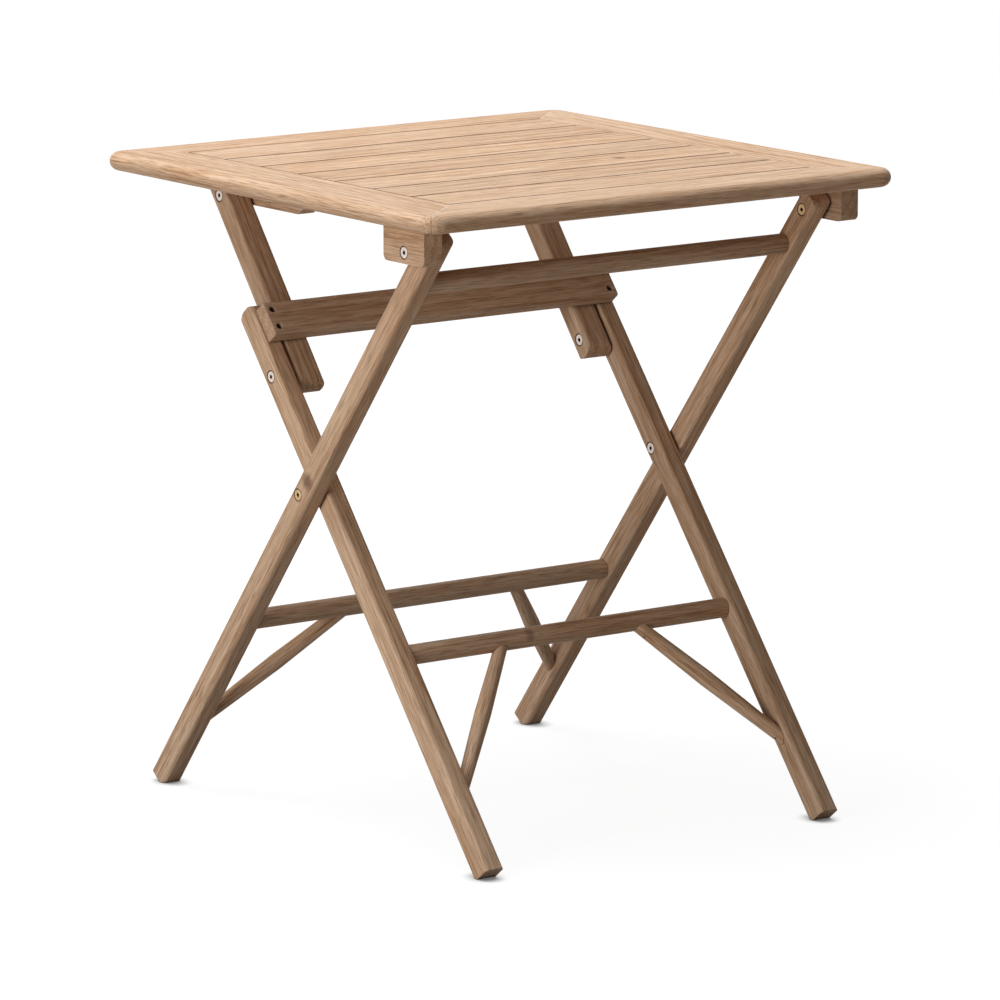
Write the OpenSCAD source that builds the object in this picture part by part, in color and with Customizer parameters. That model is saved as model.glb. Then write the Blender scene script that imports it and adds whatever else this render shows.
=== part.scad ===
// Folding slatted table with crossed legs. X runs along the slats, Y to the back, Z up.
// The origin is on the floor under the middle of the top. Frame A is the outer pair of legs,
// which runs from the front of the top to the back of the floor. Frame B is the inner pair.

/* [Table] */
// Width of the top, along the slats
top_w = 645; // [540:5:800]
// Depth of the top, across the slats
top_d = 645; // [600:5:720]
// Height of the top above the floor
table_h = 740; // [680:5:820]

/* [Top] */
// Width of the left and right border rails
side_rail_w = 74; // [56:1:84]
// Width of the front and back border rails
end_rail_w = 67; // [50:1:78]
// Thickness of the border rails
rail_t = 21; // [17:1:25]
// Plan radius of the four corners
corner_r = 22; // [14:1:30]
// Number of slats
slat_count = 7; // [5:1:9]
// Gap between two slats
slat_gap = 1.6; // [1:0.1:4]
// Thickness of a slat
slat_t = 12; // [10:0.5:14]
// Length of the tongue at each end of a slat
tongue_l = 10; // [6:1:14]
// Thickness of that tongue
tongue_t = 5; // [3:0.5:6]
// Radius along the edges of a slat
slat_edge_r = 1.2; // [0.5:0.1:2]

/* [Legs] */
// Width of a leg, seen from the side
leg_w = 28; // [22:1:34]
// Thickness of a leg, seen from the front
leg_t = 25; // [20:1:30]
// Rounding of the long edges of legs and links
leg_edge_r = 5; // [2:0.5:7]
// Height of the pivot where the legs cross
cross_z = 384; // [330:1:440]
// Distance of that pivot behind the middle of the top
cross_y = 3; // [-20:1:20]
// How far leg A's centre line lies below the crossing pivot
leg_a_offset = 3; // [0:0.5:6]
// How far leg B's centre line lies in front of the crossing pivot
leg_b_offset = 4; // [0:0.5:6]
// Length of leg A above its top pivot
leg_a_over = 22; // [18:1:26]
// Length of leg B above the link pivot
leg_b_over = 86; // [80:1:100]
// Width of the flat that the leg ends stand on
foot_flat = 9; // [4:1:20]

/* [Folding] */
// Distance from the front edge of the top to leg A's pivot
front_pivot_in = 81.5; // [75:0.5:100]
// Distance from the back edge of the top to the link's pivot
back_pivot_in = 85.5; // [80:0.5:110]
// Distance of the two top pivots below the top
pivot_drop = 50; // [46:1:60]
// Width of a link, seen from the side
link_w = 26; // [20:1:28]
// Thickness of a link, seen from the front
link_t = 34; // [24:1:36]
// Length of a link past its pivots
link_over = 22; // [18:1:26]

/* [Stretchers] */
// Diameter of the round rail near the top of frame A
dowel_d = 23; // [18:1:26]
// Distance of that rail below leg A's pivot, along the leg
dowel_down = 54; // [48:1:90]
// Diameter of the two low stretchers
stretcher_d = 23; // [18:1:26]
// Distance of frame A's stretcher below the crossing pivot, along the leg
stretcher_a_down = 209; // [150:1:260]
// Distance of frame B's stretcher below the crossing pivot, along the leg
stretcher_b_down = 216; // [150:1:260]
// Width of the flat cross rail on frame B
cross_rail_w = 42; // [34:1:44]
// Thickness of that cross rail
cross_rail_t = 19; // [14:1:24]
// Distance of that rail's low edge above the link pivot
cross_rail_up = 36; // [32:1:46]
// How far its ends lie inside the outer faces of leg B
cross_rail_in = 6; // [3:1:10]
// Diameter of a brace at its middle
brace_d = 19; // [16:1:22]
// Diameter of a brace past its ends
brace_tip_d = 14; // [12:1:16]
// Distance along the stretcher from the leg to the brace
brace_x = 131; // [60:1:160]
// Distance down the leg from the stretcher to the brace
brace_z = 168; // [70:1:180]

/* [Blocks] */
// Thickness of the pivot blocks under the side rails
block_t = 24; // [18:1:28]
// Length of a pivot block
block_l = 76; // [60:1:90]
// Depth of the pivot blocks and battens below the pivot
block_below = 12; // [10:1:18]
// Distance of a pivot block inside the side of the top
block_in = 23.5; // [20:0.5:26]
// Thickness of the link battens
batten_t = 22; // [18:1:26]
// Length of a link batten in front of its pivot
batten_front = 150; // [80:1:170]
// Length of a link batten behind its pivot
batten_back = 58; // [30:1:70]

/* [Fasteners] */
// Outer diameter of a pivot sleeve nut
sleeve_d = 8; // [7:0.5:9]
// Diameter of a pivot screw
pivot_d = 6; // [5:0.5:6]
// Diameter of the flat pivot heads
head_d = 12.5; // [11:0.5:14]
// Thickness of the flat pivot heads
head_t = 2; // [1.5:0.1:3]
// Diameter of the counterbore around a pivot head
sink_d = 15; // [14:0.5:17]
// Size of the hexagon sockets
hex_d = 4; // [3:0.5:5]
// Washer between pivot block and leg A
block_washer = 2; // [1:0.5:3]
// Washer between the legs where they cross
cross_washer = 1; // [1:0.5:3]
// Washer between leg B and link
link_washer = 2; // [1:0.5:8]
// Washer between link and batten
batten_washer = 1; // [1:0.5:3]
// Outer diameter of the washers
washer_d = 16; // [14:0.5:20]
// Diameter of the wood screws
screw_d = 4; // [3:0.5:5]
// Diameter of the wood screw heads
screw_head_d = 7.6; // [6:0.2:8]
// Diameter of the brace nails
nail_d = 2.4; // [1.5:0.1:3]
// Diameter of the dowels inside the mitres
mitre_dowel_d = 8; // [6:1:10]
// Length of the dowels inside the mitres
mitre_dowel_l = 34; // [24:1:40]
// Diameter of the tenons on rails and stretchers
tenon_d = 14; // [10:1:15]
// Length of those tenons
tenon_l = 15; // [10:1:18]

/* [Clearances] */
// Radial clearance of a pivot in its bore
pivot_fit = 0.06; // [0.02:0.01:0.1]
// Radial clearance of glued dowels, tenons and tongues
glue_fit = 0.05; // [0:0.01:0.1]
// Gap between the links and the cross rail that they stop against when open
stop_gap = 0.4; // [0.2:0.1:1]

/* [Hidden] */
$fn = 48;

// Heights
top_under = table_h - rail_t;
slat_under = table_h - slat_t;
pivot_z = table_h - pivot_drop;
block_low = pivot_z - block_below;

// Inside of the border
inner_w = top_w - 2 * side_rail_w;
inner_d = top_d - 2 * end_rail_w;
slat_pitch = inner_d / slat_count;
tongue_low = slat_under + (slat_t - tongue_t) / 2;
mitre_turn = atan2(side_rail_w, end_rail_w);
mitre_dowel_places = [0.36, 0.68];

// Pivots in the side view
front_pivot_y = front_pivot_in - top_d / 2;
back_pivot_y = top_d / 2 - back_pivot_in;
pivot_span = back_pivot_y - front_pivot_y;

// Lengths of the folding linkage. The legs fold flat where
// link + upper leg A = upper leg B + pivot span, and link and upper leg B are in line when open.
upper_a = norm([cross_y - front_pivot_y, pivot_z - cross_z]);
open_line = norm([back_pivot_y - cross_y, pivot_z - cross_z]);
link_l = (open_line + pivot_span - upper_a) / 2;
upper_b = open_line - link_l;
leg_a_tilt = atan2(cross_y - front_pivot_y, pivot_z - cross_z) - asin(leg_a_offset / upper_a);
link_tilt = atan2(back_pivot_y - cross_y, pivot_z - cross_z);
leg_b_tilt = link_tilt + asin(leg_b_offset / upper_b);
link_pivot_y = cross_y + upper_b * sin(link_tilt);
link_pivot_z = cross_z + upper_b * cos(link_tilt);
front_pivot_up = sqrt(upper_a * upper_a - leg_a_offset * leg_a_offset);
link_pivot_up = sqrt(upper_b * upper_b - leg_b_offset * leg_b_offset);

// When open, the front of each link lies stop_gap behind the upper edge of the cross rail
stop_reach = leg_w / 2 - (cross_rail_up + cross_rail_w) * sin(leg_b_tilt - link_tilt);
link_offset = link_w / 2 + stop_gap - stop_reach;

// Layers across the table, as distances from its middle
block_out = top_w / 2 - block_in;
block_face = block_out - block_t;
leg_a_out = block_face - block_washer;
leg_a_face = leg_a_out - leg_t;
leg_b_out = leg_a_face - cross_washer;
leg_b_face = leg_b_out - leg_t;
link_out = leg_b_face - link_washer;
link_face = link_out - link_t;
batten_out = link_face - batten_washer;
batten_face = batten_out - batten_t;
leg_a_mid = (leg_a_out + leg_a_face) / 2;
leg_b_mid = (leg_b_out + leg_b_face) / 2;
link_mid = (link_out + link_face) / 2;

// Feet: a leg's end is square to it, and its low corner is cut level for the floor
foot_a = foot_reach(leg_a_offset, leg_a_tilt);
foot_b = foot_reach(-leg_b_offset, leg_b_tilt);

// Rounding of ends and corners
leg_a_end_r = 9;
leg_b_front_r = 3;
leg_b_back_r = 15;
link_end_r = 11;
block_low_r = 7;
cross_rail_r = 3;
batten_chamfer_y = 42;
batten_chamfer_z = 26;

// Pivot fasteners
sink_t = head_t + 0.4;
sleeve_gap = 5;
sleeve_floor = 2;
hex_depth = 1.4;
pivot_screw_l = 26;

// Wood screws
screw_head_t = 2.6;
screw_tip_l = 2;
screw_tip_d = 0.6;
screw_slot_w = 1;
screw_slot_t = 1.2;
screw_fit = 0.1;
rail_bite = 13;
slat_bite = 8;
block_screw_x = block_out - block_t / 2;
block_screw_in = 20;
block_screw_y = [front_pivot_y - block_l / 2 + block_screw_in, front_pivot_y + block_l / 2 - block_screw_in];
block_screw_sunk = 16;
block_screw_l = top_under + rail_bite - block_low - screw_head_t - block_screw_sunk;
batten_screw_x = batten_out - batten_t / 2;
batten_screw_y = [back_pivot_y - 100, back_pivot_y - 40, back_pivot_y + 30];
batten_screw_sunk = 22;
batten_screw_l = slat_under + slat_bite - block_low - screw_head_t - batten_screw_sunk;
cross_screw_x = leg_b_mid - 2;
cross_screw_step = 22;
cross_screw_sunk = 3.4;
cross_screw_l = cross_rail_t + 10;

// Cross rail, in the frame of leg B
cross_rail_mid = link_pivot_up + cross_rail_up + cross_rail_w / 2;
cross_rail_y = -leg_b_offset - leg_w / 2 - cross_rail_t / 2;

// Braces
brace_run = norm([brace_x, brace_z]);
brace_turn = atan2(brace_x, brace_z);
brace_past = 24;
saddle_up = 4;
nail_l = 22;
nail_open = 24;
nail_low = 3;
nail_sunk = 6;
nail_side = 8;

// Small gap at the ends of slats, and the play of a tongue in its groove
slat_end_gap = 0.3;
tongue_in = 1;
groove_play = 0.5;

// Cutting shapes reach this far past the faces they cut, joined shapes overlap by merge
cut = 1;
merge = 0.1;

// Distance along the leg from the crossing pivot to its square end, such that the floor
// leaves a flat of foot_flat at the corner that points down
function foot_reach(offset, tilt) =
    (cross_z - offset * sin(tilt) - (leg_w / 2) * sin(tilt)) / cos(tilt) + foot_flat * sin(tilt);

// ---- shapes that repeat ----

module both_sides() {
    children();
    mirror([1, 0, 0]) children();
}

// Side 1 is the right, side -1 the left
module on_side(side) {
    mirror([side < 0 ? 1 : 0, 0, 0]) children();
}

module rounded_square(width, height, r) {
    square([width - 2 * r, height], center = true);
    square([width, height - 2 * r], center = true);
    for (x = [-1, 1])
        for (y = [-1, 1])
            translate([x * (width / 2 - r), y * (height / 2 - r)]) circle(r);
}

// Bar along Z with rounded long edges: thick along X, wide along Y
module bar(thick, wide, low, high, r) {
    translate([0, 0, low]) linear_extrude(high - low) rounded_square(thick, wide, r);
}

// Outline in Y and Z, from low to high, with its two upper corners rounded by their own radii
module upper_rounded(wide, low, high, r_front, r_back) {
    r_most = max(r_front, r_back);
    translate([-wide / 2, low]) square([wide, high - low - r_most]);
    translate([-wide / 2 + r_front, low]) square([wide - r_front - r_back, high - low]);
    translate([-wide / 2, low]) square([wide / 2, high - low - r_front]);
    translate([0, low]) square([wide / 2, high - low - r_back]);
    translate([-wide / 2 + r_front, high - r_front]) circle(r_front);
    translate([wide / 2 - r_back, high - r_back]) circle(r_back);
}

// Outline in Y and Z, standing on Z 0, with its two lower corners rounded
module lower_rounded(wide, high, r) {
    translate([-wide / 2, r]) square([wide, high - r]);
    translate([-wide / 2 + r, 0]) square([wide - 2 * r, high]);
    for (y = [-1, 1])
        translate([y * (wide / 2 - r), r]) circle(r);
}

// Extrudes an outline drawn in Y and Z along X, from x0 to x1
module across(x0, x1) {
    translate([x0, 0, 0]) rotate([90, 0, 90]) linear_extrude(x1 - x0) children();
}

// Cylinder along X from x0 to x1
module rod_x(d, x0, x1) {
    translate([x0, 0, 0]) rotate([0, 90, 0]) cylinder(d = d, h = x1 - x0);
}

// Frames of the three slanted pieces: Z runs up along the piece
module in_leg_a() {
    translate([0, cross_y, cross_z]) rotate([leg_a_tilt, 0, 0]) children();
}

module in_leg_b() {
    translate([0, cross_y, cross_z]) rotate([-leg_b_tilt, 0, 0]) children();
}

module in_link() {
    translate([0, link_pivot_y, link_pivot_z]) rotate([-link_tilt, 0, 0]) children();
}

// Middle of each low stretcher, turned with its frame
module at_stretcher_a() {
    in_leg_a() translate([0, -leg_a_offset, -stretcher_a_down]) children();
}

module at_stretcher_b() {
    in_leg_b() translate([0, -leg_b_offset, -stretcher_b_down]) children();
}

module at_front_pivot() {
    translate([0, front_pivot_y, pivot_z]) children();
}

module at_back_pivot() {
    translate([0, back_pivot_y, pivot_z]) children();
}

module at_cross_pivot() {
    translate([0, cross_y, cross_z]) children();
}

module at_link_pivot() {
    translate([0, link_pivot_y, link_pivot_z]) children();
}

// Bore for a sleeve from x0 to x1, with a counterbore at one of its ends
module pivot_bore(x0, x1, sink_at_x0, sink_at_x1) {
    rod_x(sleeve_d + 2 * pivot_fit, x0 - cut, x1 + cut);
    if (sink_at_x0) rod_x(sink_d, x0 - cut, x0 + sink_t);
    if (sink_at_x1) rod_x(sink_d, x1 - sink_t, x1 + cut);
}

module hex_socket(x0, x1) {
    translate([x0, 0, 0]) rotate([0, 90, 0]) cylinder(d = hex_d / cos(30), h = x1 - x0, $fn = 6);
}

// Sleeve nut with its open end at x_open and its head sunk in the outer face at x_out
module sleeve_nut(x_open, x_out) {
    difference() {
        union() {
            rod_x(sleeve_d, x_open, x_out - sink_t + merge);
            rod_x(head_d, x_out - sink_t, x_out - sink_t + head_t);
        }
        rod_x(pivot_d + 2 * glue_fit, x_open - cut, x_out - sink_t - sleeve_floor);
        hex_socket(x_out - sink_t + head_t - hex_depth, x_out);
    }
}

// Screw with its head sunk in the inner face at x_face, and a shank up to x_end
module inner_screw(x_face, x_end, shank_d) {
    difference() {
        union() {
            rod_x(head_d, x_face + sink_t - head_t, x_face + sink_t);
            rod_x(shank_d, x_face + sink_t - merge, x_end);
        }
        hex_socket(x_face, x_face + sink_t - head_t + hex_depth);
    }
}

module washer(x0, x1) {
    difference() {
        rod_x(washer_d, x0, x1);
        rod_x(sleeve_d + 2 * pivot_fit, x0 - cut, x1 + cut);
    }
}

// Wood screw pointing up Z, with the underside of its head at Z 0
module wood_screw(length) {
    difference() {
        union() {
            translate([0, 0, -screw_head_t]) cylinder(d1 = screw_head_d, d2 = screw_d, h = screw_head_t);
            translate([0, 0, -merge]) cylinder(d = screw_d, h = length - screw_tip_l + merge);
            translate([0, 0, length - screw_tip_l]) cylinder(d1 = screw_d, d2 = screw_tip_d, h = screw_tip_l);
        }
        for (turn = [0, 90])
            rotate([0, 0, turn]) translate([-screw_d / 2, -screw_slot_w / 2, -screw_head_t - cut])
                cube([screw_d, screw_slot_w, screw_slot_t + cut]);
    }
}

// Hole for that screw: the shank, and a recess in which the head lies at depth sunk
module wood_screw_hole(length, sunk) {
    head_hole_d = screw_head_d + 2 * screw_fit;
    shank_hole_d = screw_d + 2 * screw_fit;
    translate([0, 0, -screw_head_t]) cylinder(d1 = head_hole_d, d2 = shank_hole_d, h = screw_head_t);
    translate([0, 0, -screw_head_t - sunk - cut]) cylinder(d = head_hole_d, h = sunk + cut);
    translate([0, 0, -merge]) cylinder(d = shank_hole_d, h = length + merge + screw_fit);
}

// ---- the top ----

// Section of a border rail: its outer edge is round, its inner upper edge nearly square
module rail_section(wide) {
    edge_r = rail_t / 2;
    translate([edge_r, 0]) square([wide - edge_r - slat_edge_r, rail_t]);
    translate([edge_r, 0]) square([wide - edge_r, rail_t - slat_edge_r]);
    translate([edge_r, edge_r]) circle(edge_r);
    translate([wide - slat_edge_r, rail_t - slat_edge_r]) circle(slat_edge_r);
}

// Round end of the border at a corner, swept with the same edge
module corner_puck() {
    edge_r = rail_t / 2;
    rotate_extrude() {
        square([corner_r - edge_r, rail_t]);
        translate([corner_r - edge_r, 0]) intersection() {
            translate([0, edge_r]) circle(edge_r);
            square([edge_r, rail_t]);
        }
    }
}

// One mitred rail along X at the front edge of a top that is long by deep. The rails that it
// meets at its ends are side_wide wide.
module border_rail(long, deep, wide, side_wide) {
    intersection() {
        translate([0, 0, top_under]) union() {
            translate([-long / 2 + corner_r, -deep / 2, 0])
                rotate([90, 0, 90]) linear_extrude(long - 2 * corner_r) rail_section(wide);
            for (x = [-1, 1])
                translate([x * (long / 2 - corner_r), -deep / 2 + corner_r, 0]) corner_puck();
        }
        translate([0, 0, top_under - cut]) linear_extrude(rail_t + 2 * cut) polygon([
            [-long / 2, -deep / 2],
            [long / 2, -deep / 2],
            [long / 2 - side_wide, -deep / 2 + wide],
            [-long / 2 + side_wide, -deep / 2 + wide]
        ]);
    }
}

// Dowels across the mitres, two in each corner
module corner_dowels(extra) {
    for (x = [-1, 1])
        for (y = [-1, 1])
            for (inset = mitre_dowel_places)
                translate([
                    x * (top_w / 2 - inset * side_rail_w),
                    y * (top_d / 2 - inset * end_rail_w),
                    top_under + rail_t / 2
                ])
                    rotate([0, 90, -x * y * mitre_turn])
                        cylinder(d = mitre_dowel_d + 2 * extra, h = mitre_dowel_l + 2 * extra, center = true);
}

module mitre_dowels() {
    color("burlywood") corner_dowels(0);
}

// Places of the wood screws that hold the pivot blocks and the battens, from below
module block_screw_places() {
    both_sides()
        for (y = block_screw_y)
            translate([block_screw_x, y, block_low + screw_head_t + block_screw_sunk]) children();
}

module batten_screw_places() {
    both_sides()
        for (y = batten_screw_y)
            translate([batten_screw_x, y, block_low + screw_head_t + batten_screw_sunk]) children();
}

module rail_front() {
    color("tan") difference() {
        border_rail(top_w, top_d, end_rail_w, side_rail_w);
        corner_dowels(glue_fit);
    }
}

module rail_back() {
    color("tan") difference() {
        rotate([0, 0, 180]) border_rail(top_w, top_d, end_rail_w, side_rail_w);
        corner_dowels(glue_fit);
        batten_screw_places() wood_screw_hole(batten_screw_l, batten_screw_sunk);
    }
}

// A side rail has a groove for the tongues of the slats
module side_rail(side) {
    color("tan") difference() {
        rotate([0, 0, side * 90]) border_rail(top_d, top_w, side_rail_w, end_rail_w);
        corner_dowels(glue_fit);
        on_side(side) translate([inner_w / 2 - cut, -inner_d / 2, tongue_low - glue_fit])
            cube([cut + tongue_l + groove_play, inner_d, tongue_t + 2 * glue_fit]);
        block_screw_places() wood_screw_hole(block_screw_l, block_screw_sunk);
    }
}

module slat(index) {
    wide = slat_pitch - slat_gap;
    slat_y = -inner_d / 2 + (index - 0.5) * slat_pitch;
    color("tan") difference() {
        translate([0, slat_y, 0]) union() {
            translate([-inner_w / 2 + slat_end_gap, 0, slat_under + slat_t / 2])
                rotate([90, 0, 90]) linear_extrude(inner_w - 2 * slat_end_gap)
                    rounded_square(wide, slat_t, slat_edge_r);
            translate([-inner_w / 2 - tongue_l, -wide / 2 + tongue_in, tongue_low])
                cube([inner_w + 2 * tongue_l, wide - 2 * tongue_in, tongue_t]);
        }
        batten_screw_places() wood_screw_hole(batten_screw_l, batten_screw_sunk);
    }
}

// Block under a side rail that carries leg A's pivot
module pivot_block(side) {
    color("tan") on_side(side) difference() {
        across(block_face, block_out) translate([front_pivot_y, block_low])
            lower_rounded(block_l, top_under - block_low, block_low_r);
        at_front_pivot() pivot_bore(block_face, block_out, false, true);
        block_screw_places() wood_screw_hole(block_screw_l, block_screw_sunk);
    }
}

module block_screws() {
    color("silver") block_screw_places() wood_screw(block_screw_l);
}

// Batten under the slats that carries a link, stepped under the back rail
module link_batten(side) {
    y_front = back_pivot_y - batten_front;
    y_back = back_pivot_y + batten_back;
    color("tan") on_side(side) difference() {
        across(batten_face, batten_out) polygon([
            [y_front, slat_under],
            [y_front, block_low + batten_chamfer_z],
            [y_front + batten_chamfer_y, block_low],
            [y_back, block_low],
            [y_back, top_under],
            [inner_d / 2 - slat_end_gap, top_under],
            [inner_d / 2 - slat_end_gap, slat_under]
        ]);
        at_back_pivot() pivot_bore(batten_face, batten_out, true, false);
        batten_screw_places() wood_screw_hole(batten_screw_l, batten_screw_sunk);
    }
}

module batten_screws() {
    color("silver") batten_screw_places() wood_screw(batten_screw_l);
}

// ---- pivots on the top ----

module front_pivot_sleeves() {
    color("gainsboro") both_sides() at_front_pivot()
        sleeve_nut(leg_a_face + sink_t + sleeve_gap, block_out);
}

module front_pivot_screws() {
    color("gainsboro") both_sides() at_front_pivot()
        inner_screw(leg_a_face, leg_a_face + pivot_screw_l, pivot_d);
}

module front_pivot_washers() {
    color("silver") both_sides() at_front_pivot() washer(leg_a_out, block_face);
}

module back_pivot_sleeves() {
    color("gainsboro") both_sides() at_back_pivot()
        sleeve_nut(batten_face + sink_t + sleeve_gap, link_out);
}

module back_pivot_screws() {
    color("gainsboro") both_sides() at_back_pivot()
        inner_screw(batten_face, batten_face + pivot_screw_l, pivot_d);
}

module back_pivot_washers() {
    color("silver") both_sides() at_back_pivot() washer(batten_out, link_face);
}

// ---- frame A ----

module floor_space() {
    translate([-top_w, -2 * top_d, 0]) cube([2 * top_w, 4 * top_d, 2 * table_h]);
}

// Socket for the tenon of a stretcher or dowel, from the inner face of a leg outwards
module tenon_socket(face) {
    rod_x(tenon_d + 2 * glue_fit, face - cut, face + tenon_l + groove_play);
}

module round_stretcher(d, face) {
    rod_x(d, -face, face);
    rod_x(tenon_d, -face - tenon_l, face + tenon_l);
}

// A brace runs from the underside of a stretcher, brace_x in from the leg, down to the leg's
// inner face at x face. The stretcher's axis is at Z 0. Its lower end is cut flat against the leg.
module brace(face) {
    half = brace_run / 2 + brace_past;
    intersection() {
        translate([face, 0, -brace_z]) rotate([0, -brace_turn, 0]) {
            translate([0, 0, -brace_past]) cylinder(d1 = brace_tip_d, d2 = brace_d, h = half);
            translate([0, 0, brace_run / 2]) cylinder(d1 = brace_d, d2 = brace_tip_d, h = half);
        }
        translate([0, -brace_d, -2 * brace_z])
            cube([face, 2 * brace_d, 2 * brace_z - stretcher_d / 2 + saddle_up]);
    }
}

// Places of the nails that hold a brace to the leg and to the stretcher. Z 0 is the nail's head.
module brace_nail_places(face) {
    translate([face - nail_sunk, 0, -brace_z - nail_low]) rotate([0, 90, 0]) children();
    translate([face - brace_x + nail_side, 0, -stretcher_d / 2 - nail_side]) children();
}

module nail() {
    cylinder(d = nail_d, h = nail_l);
}

module nail_hole() {
    translate([0, 0, -nail_open]) cylinder(d = nail_d + 2 * glue_fit, h = nail_open + nail_l);
}

module leg_a(side) {
    color("tan") on_side(side) difference() {
        intersection() {
            in_leg_a() translate([leg_a_mid, -leg_a_offset, 0])
                bar(leg_t, leg_w, -foot_a, front_pivot_up + leg_a_over, leg_edge_r);
            in_leg_a() translate([0, -leg_a_offset, 0]) across(leg_a_face - cut, leg_a_out + cut)
                upper_rounded(leg_w, -foot_a - cut, front_pivot_up + leg_a_over, leg_a_end_r, leg_a_end_r);
            floor_space();
        }
        at_front_pivot() pivot_bore(leg_a_face, leg_a_out, true, false);
        at_cross_pivot() pivot_bore(leg_a_face, leg_a_out, false, true);
        in_leg_a() translate([0, -leg_a_offset, front_pivot_up - dowel_down]) tenon_socket(leg_a_face);
        at_stretcher_a() tenon_socket(leg_a_face);
        at_stretcher_a() brace_nail_places(leg_a_face) nail_hole();
    }
}

module top_dowel() {
    color("tan") in_leg_a() translate([0, -leg_a_offset, front_pivot_up - dowel_down])
        round_stretcher(dowel_d, leg_a_face);
}

module stretcher_a() {
    color("tan") at_stretcher_a() difference() {
        round_stretcher(stretcher_d, leg_a_face);
        both_sides() brace_nail_places(leg_a_face) nail_hole();
    }
}

module brace_a(side) {
    color("tan") at_stretcher_a() on_side(side) difference() {
        brace(leg_a_face);
        rod_x(stretcher_d, 0, leg_a_face + cut);
        brace_nail_places(leg_a_face) nail_hole();
    }
}

module brace_nails_a() {
    color("dimgray") at_stretcher_a() both_sides() brace_nail_places(leg_a_face) nail();
}

module cross_pivot_sleeves() {
    color("gainsboro") both_sides() at_cross_pivot()
        sleeve_nut(leg_b_face + sink_t + sleeve_gap, leg_a_out);
}

module cross_pivot_screws() {
    color("gainsboro") both_sides() at_cross_pivot()
        inner_screw(leg_b_face, leg_b_face + pivot_screw_l, pivot_d);
}

module cross_pivot_washers() {
    color("silver") both_sides() at_cross_pivot() washer(leg_b_out, leg_a_face);
}

// ---- frame B ----

// Screws through the cross rail into leg B, pointing back
module cross_rail_screw_places() {
    in_leg_b() both_sides()
        for (step = [-1, 1])
            translate([
                cross_screw_x,
                cross_rail_y - cross_rail_t / 2 + cross_screw_sunk + screw_head_t,
                cross_rail_mid + step * cross_screw_step / 2
            ])
                rotate([-90, 0, 0]) children();
}

module leg_b(side) {
    color("tan") on_side(side) difference() {
        intersection() {
            in_leg_b() translate([leg_b_mid, -leg_b_offset, 0])
                bar(leg_t, leg_w, -foot_b, link_pivot_up + leg_b_over, leg_edge_r);
            in_leg_b() translate([0, -leg_b_offset, 0]) across(leg_b_face - cut, leg_b_out + cut)
                upper_rounded(leg_w, -foot_b - cut, link_pivot_up + leg_b_over, leg_b_front_r, leg_b_back_r);
            floor_space();
        }
        at_cross_pivot() pivot_bore(leg_b_face, leg_b_out, true, false);
        at_link_pivot() pivot_bore(leg_b_face, leg_b_out, false, true);
        at_stretcher_b() tenon_socket(leg_b_face);
        at_stretcher_b() brace_nail_places(leg_b_face) nail_hole();
        cross_rail_screw_places() wood_screw_hole(cross_screw_l, cross_screw_sunk);
    }
}

module cross_rail() {
    half = leg_b_out - cross_rail_in;
    color("tan") difference() {
        in_leg_b() translate([-half, cross_rail_y, cross_rail_mid]) rotate([90, 0, 90])
            linear_extrude(2 * half) rounded_square(cross_rail_t, cross_rail_w, cross_rail_r);
        cross_rail_screw_places() wood_screw_hole(cross_screw_l, cross_screw_sunk);
    }
}

module cross_rail_screws() {
    color("dimgray") cross_rail_screw_places() wood_screw(cross_screw_l);
}

module stretcher_b() {
    color("tan") at_stretcher_b() difference() {
        round_stretcher(stretcher_d, leg_b_face);
        both_sides() brace_nail_places(leg_b_face) nail_hole();
    }
}

module brace_b(side) {
    color("tan") at_stretcher_b() on_side(side) difference() {
        brace(leg_b_face);
        rod_x(stretcher_d, 0, leg_b_face + cut);
        brace_nail_places(leg_b_face) nail_hole();
    }
}

module brace_nails_b() {
    color("dimgray") at_stretcher_b() both_sides() brace_nail_places(leg_b_face) nail();
}

module link_pivot_sleeves() {
    color("goldenrod") both_sides() at_link_pivot()
        sleeve_nut(link_out, leg_b_out);
}

module link_pivot_washers() {
    color("silver") both_sides() at_link_pivot() washer(link_out, leg_b_face);
}

// ---- links ----

module link(side) {
    color("tan") on_side(side) difference() {
        intersection() {
            in_link() translate([link_mid, link_offset, 0])
                bar(link_t, link_w, -link_over, link_l + link_over, leg_edge_r);
            in_link() translate([0, link_offset, 0]) across(link_face - cut, link_out + cut)
                upper_rounded(link_w, -link_over - cut, link_l + link_over, link_end_r, link_end_r);
            in_link() translate([0, link_offset, -link_over]) across(link_face - cut, link_out + cut)
                lower_rounded(link_w, link_l + 2 * link_over + cut, link_end_r);
        }
        at_back_pivot() pivot_bore(link_face, link_out, false, true);
        at_link_pivot() pivot_bore(link_face, link_out, true, false);
    }
}

// Shoulder screw of the link's lower pivot
module link_pivot_screw(side) {
    color("gainsboro") on_side(side) at_link_pivot() inner_screw(link_face, link_out, sleeve_d);
}

rail_front();
rail_back();
side_rail(-1);  // rail_left
side_rail(1);  // rail_right
slat(1);  // slat_1
slat(2);  // slat_2
slat(3);  // slat_3
slat(4);  // slat_4
slat(5);  // slat_5
slat(6);  // slat_6
slat(7);  // slat_7
mitre_dowels();
pivot_block(-1);  // pivot_block_left
pivot_block(1);  // pivot_block_right
block_screws();
link_batten(-1);  // link_batten_left
link_batten(1);  // link_batten_right
batten_screws();
front_pivot_sleeves();
front_pivot_screws();
front_pivot_washers();
back_pivot_sleeves();
back_pivot_screws();
back_pivot_washers();
leg_a(-1);  // leg_a_left
leg_a(1);  // leg_a_right
top_dowel();
stretcher_a();
brace_a(-1);  // brace_a_left
brace_a(1);  // brace_a_right
brace_nails_a();
cross_pivot_sleeves();
cross_pivot_screws();
cross_pivot_washers();
leg_b(-1);  // leg_b_left
leg_b(1);  // leg_b_right
cross_rail();
cross_rail_screws();
stretcher_b();
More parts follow.
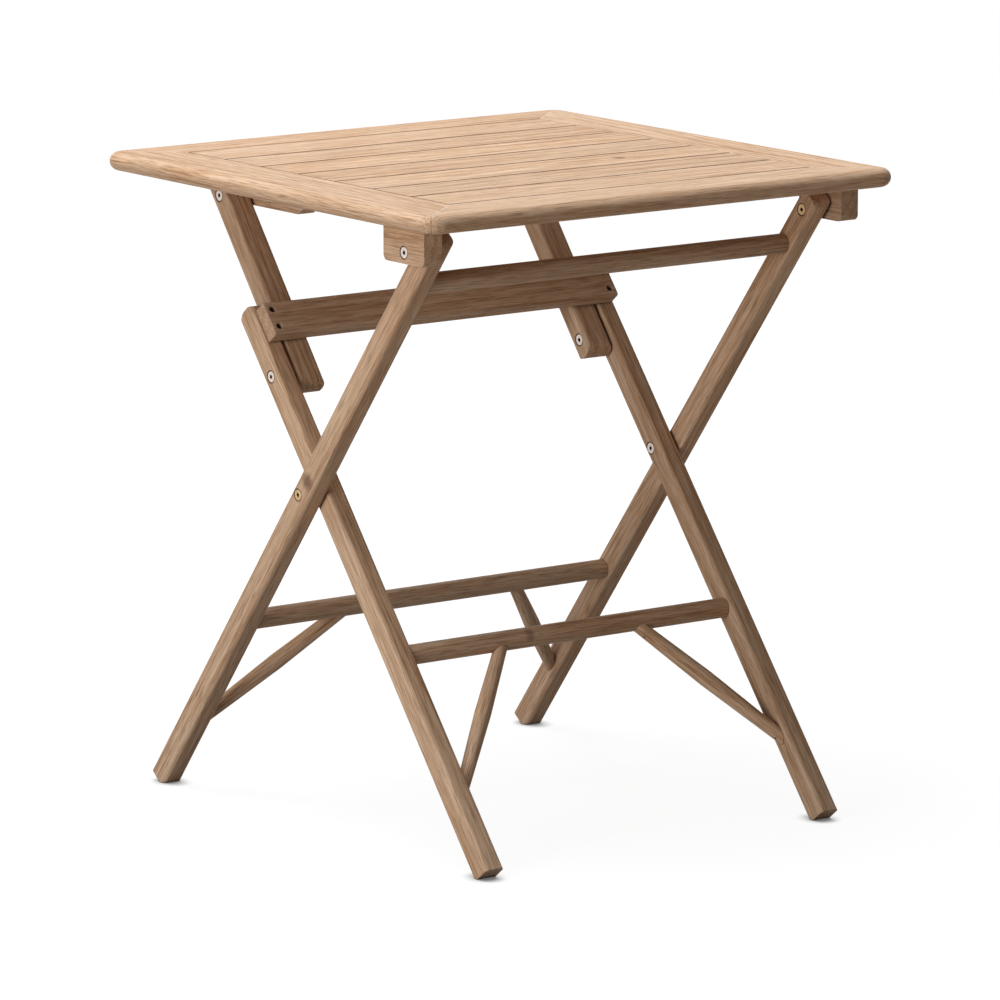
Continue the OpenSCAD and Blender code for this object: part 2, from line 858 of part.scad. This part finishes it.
brace_b(-1);  // brace_b_left
brace_b(1);  // brace_b_right
brace_nails_b();
link_pivot_sleeves();
link_pivot_washers();
link(-1);  // link_left
link(1);  // link_right
link_pivot_screw(-1);  // link_pivot_screw_left
link_pivot_screw(1);  // link_pivot_screw_right
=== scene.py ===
# Looks of the folding slatted table: washed hardwood, plated pivots, soft studio light.
import math
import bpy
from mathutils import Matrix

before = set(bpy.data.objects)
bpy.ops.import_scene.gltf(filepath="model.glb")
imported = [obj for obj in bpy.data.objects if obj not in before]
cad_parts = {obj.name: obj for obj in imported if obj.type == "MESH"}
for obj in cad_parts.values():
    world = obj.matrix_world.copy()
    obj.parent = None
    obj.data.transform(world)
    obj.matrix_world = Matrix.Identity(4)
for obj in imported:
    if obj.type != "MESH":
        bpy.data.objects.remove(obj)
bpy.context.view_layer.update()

import zlib

import bpy
from mathutils import Vector

# Directions of the grain. Leg A leans to the front going up, leg B to the back.
LEG_A_TILT = math.radians(38.13)
LEG_B_TILT = math.radians(38.94)
LINK_TILT = math.radians(37.41)
UP_A = Vector((0, -math.sin(LEG_A_TILT), math.cos(LEG_A_TILT)))
UP_B = Vector((0, math.sin(LEG_B_TILT), math.cos(LEG_B_TILT)))
UP_LINK = Vector((0, math.sin(LINK_TILT), math.cos(LINK_TILT)))
ALONG_X = Vector((1, 0, 0))
ALONG_Y = Vector((0, 1, 0))
# A brace runs this far in from its leg and this far up along it, in metres
BRACE_IN = 0.131
BRACE_UP = 0.168


def brace_grain(side, up):
    return (up * BRACE_UP - ALONG_X * side * BRACE_IN).normalized()


GRAIN = {
    "rail_front": ALONG_X, "rail_back": ALONG_X,
    "rail_left": ALONG_Y, "rail_right": ALONG_Y,
    "mitre_dowels": ALONG_X,
    "pivot_block_left": ALONG_Y, "pivot_block_right": ALONG_Y,
    "link_batten_left": ALONG_Y, "link_batten_right": ALONG_Y,
    "leg_a_left": UP_A, "leg_a_right": UP_A,
    "top_dowel": ALONG_X, "stretcher_a": ALONG_X,
    "brace_a_left": brace_grain(-1, UP_A), "brace_a_right": brace_grain(1, UP_A),
    "leg_b_left": UP_B, "leg_b_right": UP_B,
    "cross_rail": ALONG_X, "stretcher_b": ALONG_X,
    "brace_b_left": brace_grain(-1, UP_B), "brace_b_right": brace_grain(1, UP_B),
    "link_left": UP_LINK, "link_right": UP_LINK,
}
SLAT_COUNT = 7
for number in range(1, SLAT_COUNT + 1):
    GRAIN["slat_%d" % number] = ALONG_X

# Lightness of single pieces, as boards from different planks differ; the lower values of the
# cross rail, top dowel, links and right pivot block are painted shade, as these pieces sit in
# shade. 1 is the mean.
PLANK_TONE_AND_SHADE = {
    "rail_front": 1.03, "rail_back": 1.05, "rail_left": 1.0, "rail_right": 1.07,
    "slat_1": 1.02, "slat_2": 0.97, "slat_3": 1.05, "slat_4": 0.99, "slat_5": 1.06,
    "slat_6": 1.0, "slat_7": 1.04,
    "leg_a_left": 1.0, "leg_a_right": 1.05, "leg_b_left": 1.02, "leg_b_right": 0.93,
    "cross_rail": 0.90, "stretcher_a": 0.94, "stretcher_b": 1.0, "top_dowel": 0.9,
    "brace_a_left": 1.08, "brace_a_right": 1.05, "brace_b_left": 1.08, "brace_b_right": 1.08,
    "link_left": 0.88, "link_right": 0.93, "pivot_block_right": 0.86,
}

# Knots: where they sit in the table's frame and how large they are, in metres
KNOTS = {
    "leg_a_left": (Vector((-0.273, -0.016, 0.402)), 0.008),
    "stretcher_b": (Vector((-0.060, -0.142, 0.222)), 0.006),
    "slat_3": (Vector((0.120, -0.070, 0.740)), 0.007),
}

# Pivot axes run along X through these places in Y and Z, in metres
FRONT_PIVOT = (-0.241, 0.690)
BACK_PIVOT = (0.237, 0.690)
CROSS_PIVOT = (0.003, 0.384)
LINK_PIVOT = (0.0937, 0.5026)
PIVOTS = {
    "pivot_block_left": [FRONT_PIVOT], "pivot_block_right": [FRONT_PIVOT],
    "link_batten_left": [BACK_PIVOT], "link_batten_right": [BACK_PIVOT],
    "leg_a_left": [FRONT_PIVOT, CROSS_PIVOT], "leg_a_right": [FRONT_PIVOT, CROSS_PIVOT],
    "leg_b_left": [CROSS_PIVOT, LINK_PIVOT], "leg_b_right": [CROSS_PIVOT, LINK_PIVOT],
    "link_left": [LINK_PIVOT, BACK_PIVOT], "link_right": [LINK_PIVOT, BACK_PIVOT],
}
HEAD_PIVOT = {
    "front_pivot": FRONT_PIVOT, "back_pivot": BACK_PIVOT,
    "cross_pivot": CROSS_PIVOT, "link_pivot": LINK_PIVOT,
}

# Radii of the painted shade ring at a counterbore's edge and of the painted shade in the socket
# of a screw head, each as a soft step
SHADE_RING_OUT, SHADE_RING_IN = 0.0077, 0.0072
SOCKET_OUT, SOCKET_IN = 0.0026, 0.0021

# The border: half its outer size, half its opening, and the height of its face
OUTER = 0.3225
OPEN_X = 0.2485
OPEN_Y = 0.2555
TOP_Z = 0.740
SLAT_PITCH = 2 * OPEN_Y / SLAT_COUNT


def srgb(r, g, b):
    def lin(c):
        c /= 255.0
        return c / 12.92 if c <= 0.04045 else ((c + 0.055) / 1.055) ** 2.4
    return (lin(r), lin(g), lin(b), 1.0)


class Graph:
    """Short helpers to build one node material."""

    def __init__(self, name):
        self.mat = bpy.data.materials.new(name)
        self.mat.use_nodes = True
        self.tree = self.mat.node_tree
        self.shader = self.tree.nodes["Principled BSDF"]

    def node(self, kind, **values):
        made = self.tree.nodes.new(kind)
        for key, value in values.items():
            if hasattr(made, key):
                setattr(made, key, value)
            else:
                made.inputs[key].default_value = value
        return made

    def link(self, source, target):
        self.tree.links.new(source, target)

    def math(self, operation, a, b=0.0, clamp=False):
        made = self.tree.nodes.new("ShaderNodeMath")
        made.operation = operation
        made.use_clamp = clamp
        for socket, value in zip(made.inputs, (a, b)):
            if isinstance(value, (int, float)):
                socket.default_value = value
            else:
                self.link(value, socket)
        return made.outputs[0]

    def spread(self, vector, scale):
        made = self.tree.nodes.new("ShaderNodeVectorMath")
        made.operation = "MULTIPLY"
        self.link(vector, made.inputs[0])
        made.inputs[1].default_value = scale
        return made.outputs[0]

    def noise(self, vector, detail=2.0, rough=0.5, distortion=0.0):
        made = self.tree.nodes.new("ShaderNodeTexNoise")
        made.inputs["Scale"].default_value = 1.0
        made.inputs["Detail"].default_value = detail
        made.inputs["Roughness"].default_value = rough
        made.inputs["Distortion"].default_value = distortion
        self.link(vector, made.inputs["Vector"])
        return made.outputs["Fac"]

    def remap(self, value, low, high, to_low=0.0, to_high=1.0):
        made = self.tree.nodes.new("ShaderNodeMapRange")
        self.link(value, made.inputs["Value"])
        made.inputs["From Min"].default_value = low
        made.inputs["From Max"].default_value = high
        made.inputs["To Min"].default_value = to_low
        made.inputs["To Max"].default_value = to_high
        return made.outputs["Result"]

    def from_axis(self, coords, pivot):
        """Distance from a pivot axis that runs along X."""
        parts = self.node("ShaderNodeSeparateXYZ")
        self.link(coords, parts.inputs[0])
        y = self.math("SUBTRACT", parts.outputs["Y"], pivot[0])
        z = self.math("SUBTRACT", parts.outputs["Z"], pivot[1])
        y_squared = self.math("MULTIPLY", y, y)
        z_squared = self.math("MULTIPLY", z, z)
        return self.math("SQRT", self.math("ADD", y_squared, z_squared))

    def ramp(self, value, stops):
        made = self.tree.nodes.new("ShaderNodeValToRGB")
        self.link(value, made.inputs["Fac"])
        elements = made.color_ramp.elements
        elements[0].position, elements[0].color = stops[0]
        elements[1].position, elements[1].color = stops[-1]
        for position, colour in stops[1:-1]:
            elements.new(position).color = colour
        return made.outputs["Color"]

    def mix(self, factor, a, b, blend="MIX"):
        made = self.tree.nodes.new("ShaderNodeMix")
        made.data_type = "RGBA"
        made.blend_type = blend
        made.clamp_factor = True
        if isinstance(factor, (int, float)):
            made.inputs[0].default_value = factor
        else:
            self.link(factor, made.inputs[0])
        for socket, value in ((made.inputs[6], a), (made.inputs[7], b)):
            if isinstance(value, tuple):
                socket.default_value = value
            else:
                self.link(value, socket)
        return made.outputs[2]


# Noise scales, per metre: along the grain, then twice across it
DRIFT = (1.6, 14.0, 14.0)
BAND = (3.2, 75.0, 75.0)
STREAK = (11.0, 600.0, 600.0)
FIBRE = (42.0, 1500.0, 1500.0)
PORE = (36.0, 1150.0, 1150.0)
HEART = (2.4, 30.0, 30.0)

# How much each layer counts in the lightness of the wood
STREAK_SHARE, BAND_SHARE, GROWTH_SHARE, FIBRE_SHARE = 0.50, 0.22, 0.07, 0.34

# Growth lines: turns per metre to the side and in depth, and how far drift and band bend them
RING_SIDE, RING_DEPTH, BEND_DRIFT, BEND_BAND = 430.0, 260.0, 34.0, 9.0

# Each board is cut elsewhere in the noise: its seed is spread over this many metres
CUT = (7.3, 3.1, 5.7)
SEEDS = 997


def wood(name, grain, tone_and_shade, knot=None):
    """Wood whose grain runs along one direction, with the marks that belong to its node."""
    g = Graph("wood_" + name)
    seed = (zlib.crc32(name.encode()) % SEEDS) / SEEDS
    turn = grain.rotation_difference(ALONG_X)
    coords = g.node("ShaderNodeTexCoord").outputs["Object"]
    mapping = g.node("ShaderNodeMapping", vector_type="POINT")
    mapping.inputs["Rotation"].default_value = turn.to_euler("XYZ")
    mapping.inputs["Location"].default_value = [seed * length for length in CUT]
    g.link(coords, mapping.inputs["Vector"])
    place = mapping.outputs["Vector"]

    # Slow drift, bands of the board, streaks, fibres and open pores, all drawn out along X
    drift = g.noise(g.spread(place, DRIFT), 2.0)
    band = g.noise(g.spread(place, BAND), 3.0, 0.55, 0.6)
    streak = g.noise(g.spread(place, STREAK), 5.0, 0.62, 0.25)
    fibre = g.noise(g.spread(place, FIBRE), 3.0, 0.6)
    pore = g.noise(g.spread(place, PORE), 1.0, 0.4)

    # Growth lines: a sine across the grain, bent by the drift
    across = g.node("ShaderNodeSeparateXYZ")
    g.link(place, across.inputs[0])
    phase = g.math("ADD", g.math("MULTIPLY", across.outputs["Y"], RING_SIDE),
                   g.math("MULTIPLY", across.outputs["Z"], RING_DEPTH))
    phase = g.math("ADD", phase, g.math("MULTIPLY", drift, BEND_DRIFT))
    phase = g.math("ADD", phase, g.math("MULTIPLY", band, BEND_BAND))
    growth = g.remap(g.math("SINE", phase), -1.0, 1.0)

    level = g.math("ADD", g.math("MULTIPLY", streak, STREAK_SHARE),
                   g.math("MULTIPLY", band, BAND_SHARE))
    level = g.math("ADD", level, g.math("MULTIPLY", growth, GROWTH_SHARE))
    level = g.math("ADD", level, g.math("MULTIPLY", fibre, FIBRE_SHARE))
    level = g.remap(level, 0.40, 0.70)
    colour = g.ramp(level, [
        (0.0, srgb(137, 93, 60)),
        (0.30, srgb(184, 141, 103)),
        (0.58, srgb(210, 172, 138)),
        (1.0, srgb(232, 202, 172)),
    ])

    # A greyer wash on some stretches, and redder heartwood on others
    wash = g.remap(drift, 0.45, 0.75, 0.0, 0.40)
    colour = g.mix(wash, colour, srgb(214, 184, 156))
    heart = g.noise(g.spread(place, HEART), 2.0)
    heart = g.remap(heart, 0.55, 0.80, 0.0, 0.38)
    colour = g.mix(heart, colour, srgb(192, 138, 100))

    dark_pore = g.remap(pore, 0.30, 0.45, 0.52, 0.0)
    colour = g.mix(dark_pore, colour, srgb(98, 68, 50))

    if knot:
        centre, size = knot
        offset = g.node("ShaderNodeVectorMath", operation="SUBTRACT")
        g.link(coords, offset.inputs[0])
        offset.inputs[1].default_value = centre
        away = g.node("ShaderNodeVectorMath", operation="LENGTH")
        g.link(offset.outputs[0], away.inputs[0])
        ragged = g.math("MULTIPLY", streak, size * 0.9)
        reach = g.math("ADD", away.outputs["Value"], ragged)
        inside = g.remap(reach, size, size * 2.0, 0.75, 0.0)
        colour = g.mix(inside, colour, srgb(96, 62, 42))

    # Rubbed edges go lighter, partly as wear and partly as a painted highlight, and painted
    # shade darkens what lies in joints and recesses
    bevel = g.node("ShaderNodeBevel", samples=4)
    bevel.inputs["Radius"].default_value = 0.0022
    plain = g.node("ShaderNodeNewGeometry")
    lean = g.node("ShaderNodeVectorMath", operation="DOT_PRODUCT")
    g.link(bevel.outputs["Normal"], lean.inputs[0])
    g.link(plain.outputs["Normal"], lean.inputs[1])
    # Partly wear, partly painted highlight: lighter where the bevelled normal leans away from
    # the face
    edge_wear_and_highlight = g.remap(lean.outputs["Value"], 0.99, 0.80, 0.0, 0.30)
    colour = g.mix(edge_wear_and_highlight, colour, srgb(224, 200, 178))
    # Painted shade: darker in joints and recesses, by ambient occlusion
    shade = g.node("ShaderNodeAmbientOcclusion", samples=4, only_local=False)
    shade.inputs["Distance"].default_value = 0.006
    recess_shade = g.remap(shade.outputs["AO"], 0.15, 0.75, 0.75, 0.0)
    colour = g.mix(recess_shade, colour, srgb(74, 50, 36))

    # Painted shade: dark rings in the counterbores around the pivot heads, where shade falls
    # between head and wood
    for pivot in PIVOTS.get(name, []):
        bore_shade_ring = g.remap(g.from_axis(coords, pivot), SHADE_RING_OUT, SHADE_RING_IN, 0.0, 0.90)
        colour = g.mix(bore_shade_ring, colour, srgb(52, 34, 24))

    # Shadow lines around the slats, and the pale glue lines of the mitres
    if name.startswith("slat_") or name.startswith("rail_"):
        at = g.node("ShaderNodeSeparateXYZ")
        g.link(coords, at.inputs[0])
        far_x = g.math("ABSOLUTE", at.outputs["X"])
        far_y = g.math("ABSOLUTE", at.outputs["Y"])
        on_top = g.remap(at.outputs["Z"], TOP_Z - 0.0040, TOP_Z - 0.0030)
        if name.startswith("slat_"):
            row = g.math("DIVIDE", g.math("ADD", at.outputs["Y"], OPEN_Y), SLAT_PITCH)
            beside = g.math("ABSOLUTE", g.math("SUBTRACT", row, g.math("ROUND", row)))
            line = g.remap(g.math("MULTIPLY", beside, SLAT_PITCH), 0.0022, 0.0015, 0.0, 0.92)
            end = g.remap(g.math("SUBTRACT", OPEN_X, far_x), 0.0010, 0.0006, 0.0, 0.80)
            line = g.math("MAXIMUM", line, end)
        else:
            beyond = g.math("MAXIMUM", g.math("SUBTRACT", far_x, OPEN_X),
                            g.math("SUBTRACT", far_y, OPEN_Y))
            reach = 0.0012 if name in ("rail_front", "rail_back") else 0.0006
            line = g.remap(beyond, reach, reach - 0.0004, 0.0, 0.85)
            side_w, end_w = OUTER - OPEN_X, OUTER - OPEN_Y
            off = g.math("SUBTRACT",
                         g.math("MULTIPLY", g.math("SUBTRACT", OUTER, far_x), end_w),
                         g.math("MULTIPLY", g.math("SUBTRACT", OUTER, far_y), side_w))
            off = g.math("DIVIDE", g.math("ABSOLUTE", off), math.hypot(side_w, end_w))
            flat = g.remap(at.outputs["Z"], TOP_Z - 0.0030, TOP_Z - 0.0010)
            glue = g.math("MULTIPLY", g.remap(off, 0.0010, 0.0005, 0.0, 0.55), flat)
            colour = g.mix(glue, colour, srgb(240, 226, 212))
        colour = g.mix(g.math("MULTIPLY", line, on_top), colour, srgb(66, 37, 22))

    # The piece's lightness: plank tone, and painted shade on the pieces that sit in shade
    colour = g.mix(1.0, colour, (tone_and_shade, tone_and_shade, tone_and_shade, 1.0), "MULTIPLY")
    g.link(colour, g.shader.inputs["Base Color"])
    g.link(g.remap(streak, 0.3, 0.7, 0.74, 0.58), g.shader.inputs["Roughness"])
    g.shader.inputs["Specular IOR Level"].default_value = 0.28

    height = g.math("ADD", g.math("MULTIPLY", fibre, 0.5), g.math("MULTIPLY", streak, 0.8))
    height = g.math("SUBTRACT", height, g.math("MULTIPLY", dark_pore, 0.6))
    bump = g.node("ShaderNodeBump")
    bump.inputs["Strength"].default_value = 0.55
    bump.inputs["Distance"].default_value = 0.0005
    g.link(height, bump.inputs["Height"])
    g.link(bevel.outputs["Normal"], bump.inputs["Normal"])
    g.link(bump.outputs["Normal"], g.shader.inputs["Normal"])
    return g.mat


def metal(name, bright, dull, rough, metallic=1.0, socket=None):
    """Plated metal with dull spots and fine scratches, painted shade in its recesses, and
    painted shade in a socket around an axis.
    """
    g = Graph(name)
    coords = g.node("ShaderNodeTexCoord").outputs["Object"]
    spots = g.noise(g.spread(coords, (420.0, 420.0, 420.0)), 3.0, 0.6)
    scratch = g.noise(g.spread(coords, (900.0, 2600.0, 300.0)), 2.0, 0.5)
    colour = g.mix(g.remap(spots, 0.40, 0.68), bright, dull)
    # Painted shade: darker in recesses and where the metal meets other parts, by ambient
    # occlusion
    shade = g.node("ShaderNodeAmbientOcclusion", samples=8)
    shade.inputs["Distance"].default_value = 0.003
    recess_shade = g.remap(shade.outputs["AO"], 0.25, 0.75, 0.92, 0.0)
    colour = g.mix(recess_shade, colour, srgb(38, 28, 22))
    # Painted shade: the socket in the head is painted dark around the axis
    if socket:
        inside = g.remap(g.from_axis(coords, socket), SOCKET_OUT, SOCKET_IN)
        colour = g.mix(inside, colour, srgb(20, 15, 12))
    g.link(colour, g.shader.inputs["Base Color"])
    g.shader.inputs["Metallic"].default_value = metallic
    g.link(g.remap(scratch, 0.3, 0.7, rough, rough + 0.16), g.shader.inputs["Roughness"])
    bump = g.node("ShaderNodeBump")
    bump.inputs["Strength"].default_value = 0.25
    bump.inputs["Distance"].default_value = 0.0001
    g.link(scratch, bump.inputs["Height"])
    g.link(bump.outputs["Normal"], g.shader.inputs["Normal"])
    return g.mat


STEEL = metal("washer_steel", srgb(150, 142, 134), srgb(104, 96, 88), 0.38)
DARK = metal("dark_fastener", srgb(70, 52, 40), srgb(38, 28, 22), 0.50, 0.5)
SUNK_SCREWS = ("cross_rail_screws", "block_screws", "batten_screws")
BRASS_NODES = ("front_pivot_screws", "cross_pivot_sleeves")


def fastener(node):
    """The metal of a fastener node."""
    if "washer" in node:
        return STEEL
    if "nail" in node or node in SUNK_SCREWS:
        return DARK
    socket = [place for start, place in HEAD_PIVOT.items() if node.startswith(start)][0]
    if node in BRASS_NODES:
        bright, dull = srgb(232, 196, 140), srgb(186, 144, 92)
        return metal("brass_" + node, bright, dull, 0.28, 0.55, socket)
    bright, dull = srgb(250, 236, 226), srgb(222, 202, 190)
    return metal("zinc_" + node, bright, dull, 0.34, 0.30, socket)


for node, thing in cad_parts.items():
    if node in GRAIN:
        finish = wood(node, GRAIN[node], PLANK_TONE_AND_SHADE.get(node, 1.0), KNOTS.get(node))
    else:
        finish = fastener(node)
    thing.data.materials.clear()
    thing.data.materials.append(finish)

# Floor: white where it is seen, with the table's soft shadow, painted shade that dims it near
# the table, and painted contact shadows where the feet touch it.
# As light it is dim and warm, and dimmer under the table than around it.
FLOOR_HALF = 14.0
FLOOR_DROP = 0.0003
# Level of the seen floor near the table and far from it; the lower level near the table is
# painted shade
SEEN_NEAR, SEEN_FAR = 0.925, 1.0
BOUNCE_UNDER = (0.025, 0.019, 0.015, 1.0)
BOUNCE_AROUND = (0.19, 0.155, 0.125, 1.0)
# Reach of the painted contact shadows at the feet
CONTACT_REACH = 0.022

floor_mesh = bpy.data.meshes.new("floor")
corners = [(x * FLOOR_HALF, y * FLOOR_HALF, 0) for x, y in ((-1, -1), (1, -1), (1, 1), (-1, 1))]
floor_mesh.from_pydata(corners, [], [(0, 1, 2, 3)])
floor = bpy.data.objects.new("floor", floor_mesh)
bpy.context.scene.collection.objects.link(floor)
floor.location.z = -FLOOR_DROP
fg = Graph("white_floor")
fg.shader.inputs["Roughness"].default_value = 0.9
fg.shader.inputs["Specular IOR Level"].default_value = 0.0
fg.shader.inputs["Base Color"].default_value = (0.15, 0.15, 0.15, 1.0)
seen_by = fg.node("ShaderNodeLightPath")
directly = fg.math(
    "MAXIMUM", seen_by.outputs["Is Camera Ray"],
    fg.math("MAXIMUM", seen_by.outputs["Is Glossy Ray"], seen_by.outputs["Is Transmission Ray"]))
# Painted contact shadow: the seen floor darkens where the feet touch it
contact = fg.node("ShaderNodeAmbientOcclusion", samples=16)
contact.inputs["Distance"].default_value = CONTACT_REACH
spot = fg.node("ShaderNodeTexCoord").outputs["Object"]
from_middle = fg.node("ShaderNodeVectorMath", operation="LENGTH")
fg.link(spot, from_middle.inputs[0])
# Painted shade: the seen floor is dimmer near the table, and darker still at the feet
seen_level_painted_shade = fg.remap(from_middle.outputs["Value"], 0.5, 3.0, SEEN_NEAR, SEEN_FAR)
seen_white_painted_shadow = fg.math("MULTIPLY", seen_level_painted_shade, fg.remap(contact.outputs["AO"], 0.25, 0.85, 0.15, 1.0))
around = fg.remap(from_middle.outputs["Value"], 0.35, 1.3)
bounce = fg.mix(around, BOUNCE_UNDER, BOUNCE_AROUND)
fg.link(fg.mix(directly, bounce, seen_white_painted_shadow), fg.shader.inputs["Emission Color"])
fg.shader.inputs["Emission Strength"].default_value = 1.0
floor_mesh.materials.append(fg.mat)

# World: white where it is seen, dim and warm as light
SOFT_COLOUR = (1.0, 0.82, 0.66, 1.0)
SOFT_STRENGTH = 0.06

world = bpy.data.worlds.new("studio")
bpy.context.scene.world = world
world.use_nodes = True
tree = world.node_tree
tree.nodes.clear()
path = tree.nodes.new("ShaderNodeLightPath")
seen = tree.nodes.new("ShaderNodeMath")
seen.operation = "MAXIMUM"
through = tree.nodes.new("ShaderNodeMath")
through.operation = "MAXIMUM"
tree.links.new(path.outputs["Is Glossy Ray"], through.inputs[0])
tree.links.new(path.outputs["Is Transmission Ray"], through.inputs[1])
tree.links.new(path.outputs["Is Camera Ray"], seen.inputs[0])
tree.links.new(through.outputs[0], seen.inputs[1])
soft = tree.nodes.new("ShaderNodeBackground")
soft.inputs["Color"].default_value = SOFT_COLOUR
soft.inputs["Strength"].default_value = SOFT_STRENGTH
white = tree.nodes.new("ShaderNodeBackground")
white.inputs["Color"].default_value = (1.0, 1.0, 1.0, 1.0)
white.inputs["Strength"].default_value = 1.0
blend = tree.nodes.new("ShaderNodeMixShader")
out = tree.nodes.new("ShaderNodeOutputWorld")
tree.links.new(seen.outputs[0], blend.inputs[0])
tree.links.new(soft.outputs[0], blend.inputs[1])
tree.links.new(white.outputs[0], blend.inputs[2])
tree.links.new(blend.outputs[0], out.inputs["Surface"])


def area(name, place, aim, size, power, colour):
    """A square lamp at a place, turned to a point on the table."""
    light = bpy.data.lights.new(name, "AREA")
    light.shape = "SQUARE"
    light.size = size
    light.energy = power
    light.color = colour
    made = bpy.data.objects.new(name, light)
    bpy.context.scene.collection.objects.link(made)
    made.location = place
    made.rotation_euler = (Vector(aim) - Vector(place)).to_track_quat("-Z", "Y").to_euler()


# A large key from above, a side light from the left, and a weak fill from behind right
area("key", (-0.5, 0.5, 3.4), (0.0, 0.0, 0.5), 2.4, 107.0, (0.91, 0.955, 1.0))
area("left", (-3.4, -0.9, 1.0), (0.0, 0.0, 0.4), 1.8, 62.0, (0.97, 0.98, 1.0))
area("fill", (3.2, 1.9, 1.1), (0.0, 0.0, 0.4), 2.0, 17.0, (1.0, 0.985, 0.96))

# Camera, in metres, degrees and millimetres, as fitted to the photograph
SENSOR_WIDTH = 36.0
FOCAL_LENGTH = 239.6
FAR_CLIP = 60.0
TARGET = Vector((0.0005, -0.0052, 0.3489))
AZIMUTH = math.radians(-36.0)
ELEVATION = math.radians(10.81)
DISTANCE = 7.5925
back = Vector((
    math.sin(AZIMUTH) * math.cos(ELEVATION),
    -math.cos(AZIMUTH) * math.cos(ELEVATION),
    math.sin(ELEVATION),
))
lens = bpy.data.cameras.new("camera")
lens.sensor_width = SENSOR_WIDTH
lens.lens = FOCAL_LENGTH
lens.clip_end = FAR_CLIP
camera = bpy.data.objects.new("camera", lens)
bpy.context.scene.collection.objects.link(camera)
camera.location = TARGET + back * DISTANCE
camera.rotation_euler = (-back).to_track_quat("-Z", "Y").to_euler()
bpy.context.scene.camera = camera
bpy.context.scene.view_settings.view_transform = "Standard"
